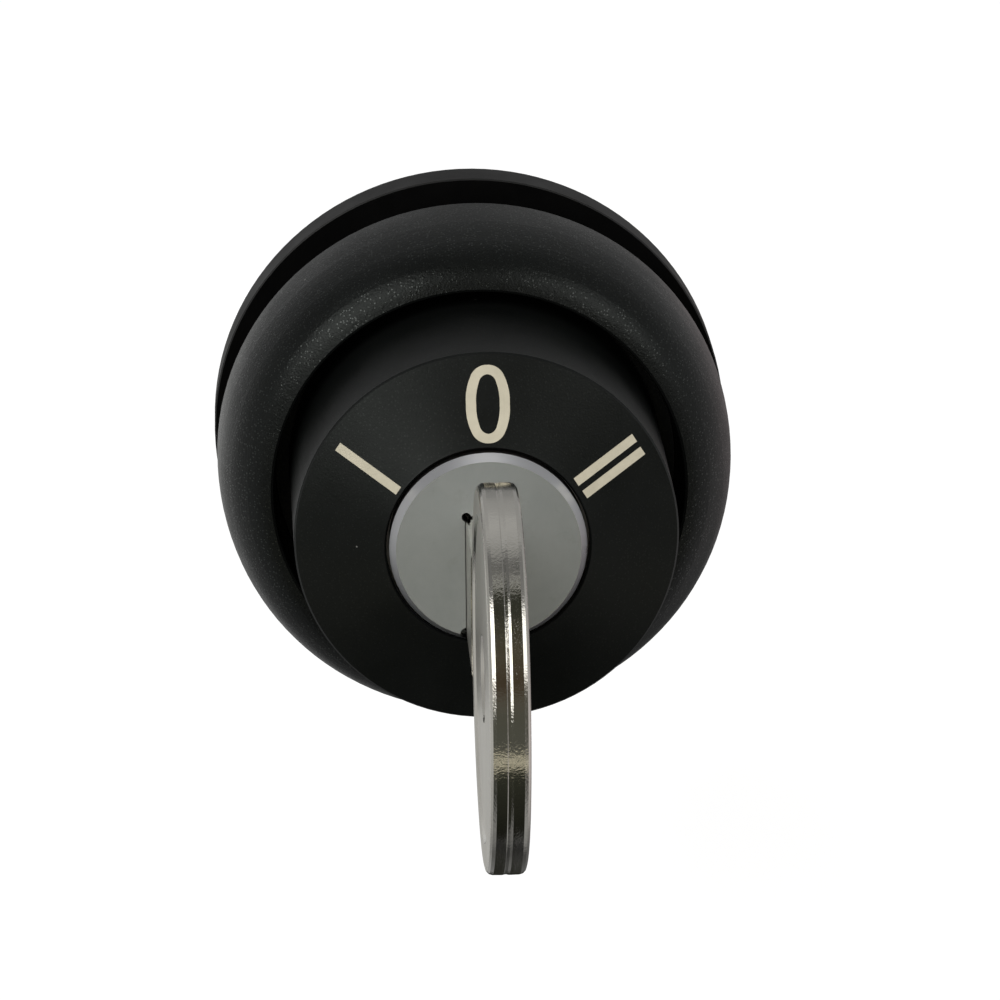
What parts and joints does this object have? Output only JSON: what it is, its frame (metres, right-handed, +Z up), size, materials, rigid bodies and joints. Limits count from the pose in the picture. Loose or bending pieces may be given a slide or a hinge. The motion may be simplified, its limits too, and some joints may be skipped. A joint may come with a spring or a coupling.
{
  "type": "key-operated selector switch operator",
  "caption": "Round panel-mounted key-operated selector switch head: lock plug with flat key, dial collar marked 0, I and II, rounded black bezel and panel gasket.",
  "frame": {"origin": "on the switch axis, in the panel's front plane, which is the back face of the gasket", "axes": "+X right, +Y into the panel along the switch axis, +Z up towards the 0 mark; the dial and key face -Y"},
  "size_m": [0.03, 0.0642, 0.03],
  "materials": {
    "rubber_gasket": "matt moulded rubber",
    "black_plastic": "moulded polyamide, fine spark-eroded texture",
    "bezel_black": "moulded polyamide, fine spark-eroded texture",
    "collar_black": "moulded polyamide, fine spark-eroded texture",
    "mark_print": "warm grey inlaid print",
    "seal_rubber": "nitrile rubber",
    "zinc_casting": "die-cast zinc alloy, bored",
    "satin_plug": "satin chromed zinc face, turned bright chamfer",
    "spring_steel": "drawn spring wire and strip",
    "nickel_key": "nickel-plated brass, polished",
    "cam_plastic": "natural acetal",
    "screw_steel": "zinc-plated steel",
    "plunger_plastic": "red acetal",
    "guide_plastic": "black polyamide",
    "wafer_brass": "stamped brass"
  },
  "bodies": {
    "housing": {"body_housing": "black_plastic", "panel_gasket": "rubber_gasket", "front_bezel": "bezel_black", "dial_collar": "collar_black", "mark_zero": "mark_print", "mark_one": "mark_print", "mark_two": "mark_print", "lock_oring": "seal_rubber", "collar_oring": "seal_rubber", "lock_sleeve": "zinc_casting", "plunger_guide": "guide_plastic", "guide_screws": "screw_steel", "detent_spring": "spring_steel", "detent_cap": "screw_steel"},
    "rotor": {"lock_plug": "satin_plug", "plug_clip": "spring_steel", "cam_drum": "cam_plastic", "cam_screw": "screw_steel", "wafer_spring_1": "spring_steel", "wafer_spring_2": "spring_steel", "wafer_spring_3": "spring_steel", "wafer_spring_4": "spring_steel", "wafer_spring_5": "spring_steel"},
    "key_body": {"key": "nickel_key"},
    "plunger_left_body": {"plunger_left": "plunger_plastic"},
    "plunger_right_body": {"plunger_right": "plunger_plastic"},
    "detent_body": {"detent_pin": "screw_steel"},
    "wafer_1_body": {"wafer_1": "wafer_brass"},
    "wafer_2_body": {"wafer_2": "wafer_brass"},
    "wafer_3_body": {"wafer_3": "wafer_brass"},
    "wafer_4_body": {"wafer_4": "wafer_brass"},
    "wafer_5_body": {"wafer_5": "wafer_brass"}
  },
  "joints": [
    {"name": "switch_turn", "type": "hinge", "parent": "housing", "child": "rotor", "pos_m": [0, 0, 0], "axis": [0, 1, 0], "range_deg": [-60, 60]},
    {"name": "key_slide", "type": "slide", "parent": "rotor", "child": "key_body", "axis": [0, -1, 0], "range_m": [0, 0.02]},
    {"name": "plunger_right_slide", "type": "slide", "parent": "housing", "child": "plunger_right_body", "axis": [0, 1, 0], "range_m": [-0.0024, 0.0024]},
    {"name": "plunger_left_slide", "type": "slide", "parent": "housing", "child": "plunger_left_body", "axis": [0, 1, 0], "range_m": [-0.0024, 0.0024]},
    {"name": "detent_slide", "type": "slide", "parent": "housing", "child": "detent_body", "axis": [0, 0, 1], "range_m": [0, 0.0005], "deforming": ["detent_spring"]},
    {"name": "wafer_1_slide", "type": "slide", "parent": "rotor", "child": "wafer_1_body", "axis": [0, 0, -1], "range_m": [0, 0.0006], "deforming": ["wafer_spring_1"]},
    {"name": "wafer_2_slide", "type": "slide", "parent": "rotor", "child": "wafer_2_body", "axis": [0, 0, -1], "range_m": [0, 0.0006], "deforming": ["wafer_spring_2"]},
    {"name": "wafer_3_slide", "type": "slide", "parent": "rotor", "child": "wafer_3_body", "axis": [0, 0, -1], "range_m": [0, 0.0006], "deforming": ["wafer_spring_3"]},
    {"name": "wafer_4_slide", "type": "slide", "parent": "rotor", "child": "wafer_4_body", "axis": [0, 0, -1], "range_m": [0, 0.0006], "deforming": ["wafer_spring_4"]},
    {"name": "wafer_5_slide", "type": "slide", "parent": "rotor", "child": "wafer_5_body", "axis": [0, 0, -1], "range_m": [0, 0.0006], "deforming": ["wafer_spring_5"]}
  ],
  "couplings": [
    {"joint": "plunger_right_slide", "follows": "switch_turn", "m_per_rad": 0.0022918},
    {"joint": "plunger_left_slide", "follows": "switch_turn", "m_per_rad": -0.0022918},
    {"joint": "wafer_1_slide", "follows": "key_slide", "ratio": 0.03},
    {"joint": "wafer_2_slide", "follows": "key_slide", "ratio": 0.03},
    {"joint": "wafer_3_slide", "follows": "key_slide", "ratio": 0.03},
    {"joint": "wafer_4_slide", "follows": "key_slide", "ratio": 0.03},
    {"joint": "wafer_5_slide", "follows": "key_slide", "ratio": 0.03}
  ]
}
